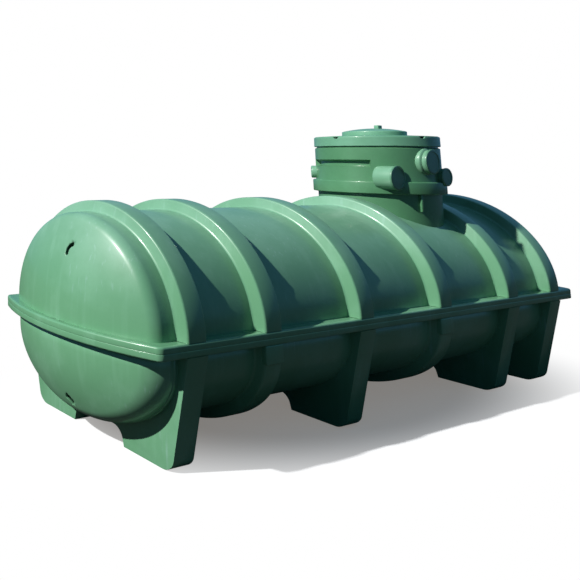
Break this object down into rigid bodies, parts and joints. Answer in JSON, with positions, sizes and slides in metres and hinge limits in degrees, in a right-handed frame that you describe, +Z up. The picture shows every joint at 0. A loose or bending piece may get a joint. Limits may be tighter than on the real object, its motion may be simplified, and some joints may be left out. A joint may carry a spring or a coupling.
{
  "type": "horizontal rainwater tank",
  "caption": "Horizontal ribbed plastic rainwater tank with a mid-height flange, moulded legs and a manhole turret with a closed lid and capped pipe sockets",
  "frame": {"origin": "ground level, in the middle of the tank's plan", "axes": "X along the tank from the plain end to the turret end, Y across it with the pipe sockets on the -Y side, Z up"},
  "size_m": [3.9798, 1.2, 1.688],
  "materials": {
    "tank_plastic": "moulded green polyethylene, satin",
    "lid_plastic": "moulded green polyethylene, satin",
    "socket_caps": "moulded green plastic caps"
  },
  "bodies": {
    "root": {"inlet_socket": "tank_plastic", "inlet_socket_cap": "socket_caps", "leg_1": "tank_plastic", "leg_3": "tank_plastic", "leg_5": "tank_plastic", "leg_6": "tank_plastic", "lid_cap": "lid_plastic", "lid_knob": "lid_plastic", "lid_rim": "lid_plastic", "lid_slope": "lid_plastic", "lower_flange_far": "tank_plastic", "lower_flange_front": "tank_plastic", "lower_flange_near": "tank_plastic", "lower_flange_rear": "tank_plastic", "lower_head_front": "tank_plastic", "lower_head_rear": "tank_plastic", "lower_rib_2": "tank_plastic", "lower_rib_4": "tank_plastic", "lower_wall_bottom": "tank_plastic", "lower_wall_far": "tank_plastic", "lower_wall_near": "tank_plastic", "neck": "tank_plastic", "overflow_socket": "tank_plastic", "overflow_socket_cap": "socket_caps", "small_socket": "tank_plastic", "small_socket_cap": "socket_caps", "turret_band": "tank_plastic", "turret_boss": "tank_plastic", "turret_collar": "tank_plastic", "upper_flange_far": "tank_plastic", "upper_flange_front": "tank_plastic", "upper_flange_near": "tank_plastic", "upper_flange_rear": "tank_plastic", "upper_head_front": "tank_plastic", "upper_head_rear": "tank_plastic", "upper_rib_1": "tank_plastic", "upper_rib_2": "tank_plastic", "upper_rib_3": "tank_plastic", "upper_rib_4": "tank_plastic", "upper_rib_5": "tank_plastic", "upper_rib_6": "tank_plastic", "upper_wall_crown": "tank_plastic", "upper_wall_far": "tank_plastic", "upper_wall_near": "tank_plastic"}
  },
  "joints": []
}
